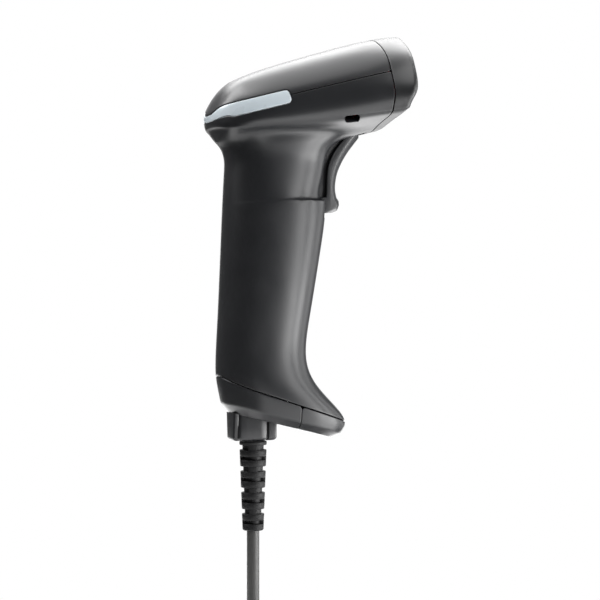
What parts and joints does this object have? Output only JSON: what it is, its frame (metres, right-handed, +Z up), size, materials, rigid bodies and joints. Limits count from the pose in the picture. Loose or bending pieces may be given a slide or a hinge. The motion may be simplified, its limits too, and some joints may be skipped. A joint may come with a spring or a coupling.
{
  "type": "handheld barcode scanner",
  "caption": "Pistol-grip handheld barcode scanner with a spring-return trigger, a light bar round the back of its head, and a USB cord with strain relief.",
  "frame": {"origin": "in the middle of the grip, on the scanner's plane of symmetry", "axes": "+X out of the nose, +Z up along the grip, +Y to the scanner's left"},
  "size_m": [0.0983, 0.1202, 0.2791],
  "materials": {
    "casing": "fine moulded texture, satin",
    "bezel": "satin moulded plastic",
    "rubber": "matte",
    "cable_jacket": "soft PVC, slight sheen",
    "light_guide": "milky translucent",
    "window": "clear red, polished",
    "lens": "coated glass",
    "steel": "plated",
    "board": "solder mask",
    "component": "matt black",
    "engine_frame": "glass-filled nylon",
    "ivory": "nylon",
    "ribbon": "polyimide"
  },
  "bodies": {
    "scanner": {"aimer_lens": "lens", "base_cap": "casing", "base_screw_left": "steel", "base_screw_right": "steel", "beeper": "component", "board_screw_left": "steel", "board_screw_right": "steel", "body_shell": "casing", "cable_hood": "casing", "cable_plug": "ivory", "cable_socket": "component", "coil_tie": "component", "cord": "cable_jacket", "cord_coil": "cable_jacket", "cord_tail": "cable_jacket", "engine_bracket": "engine_frame", "engine_housing": "engine_frame", "engine_screw_left": "steel", "engine_screw_right": "steel", "harness": "cable_jacket", "illumination_lens": "lens", "imager_lens": "lens", "light_bar": "light_guide", "main_board": "board", "nose_bezel": "bezel", "processor_chip": "component", "ribbon_cable": "ribbon", "ribbon_connector": "ivory", "scan_window": "window", "socket_board": "board", "status_board": "board", "status_led_left": "light_guide", "status_led_right": "light_guide", "strain_relief": "rubber", "switch_body": "component", "toe_cap": "casing", "top_cover": "casing", "trigger_pin": "steel", "trigger_spring": "steel", "usb_overmould": "cable_jacket", "usb_shell": "steel", "usb_tongue": "ivory", "window_gasket": "rubber"},
    "trigger": {"trigger": "casing"},
    "plunger": {"switch_plunger": "ivory"}
  },
  "joints": [
    {"name": "trigger_pivot", "type": "hinge", "parent": "scanner", "child": "trigger", "pos_m": [0.0386, 0, 0.071], "axis": [0, 1, 0], "range_deg": [0, 4], "stiffness_Nm_per_rad": 1, "springref_deg": -1.72, "deforming": ["trigger_spring"]},
    {"name": "plunger_slide", "type": "slide", "parent": "scanner", "child": "plunger", "axis": [-0.2498, 0, 0.9683], "range_m": [0, 0.0007]}
  ],
  "couplings": [
    {"joint": "plunger_slide", "follows": "trigger_pivot", "m_per_rad": 0.0096}
  ]
}
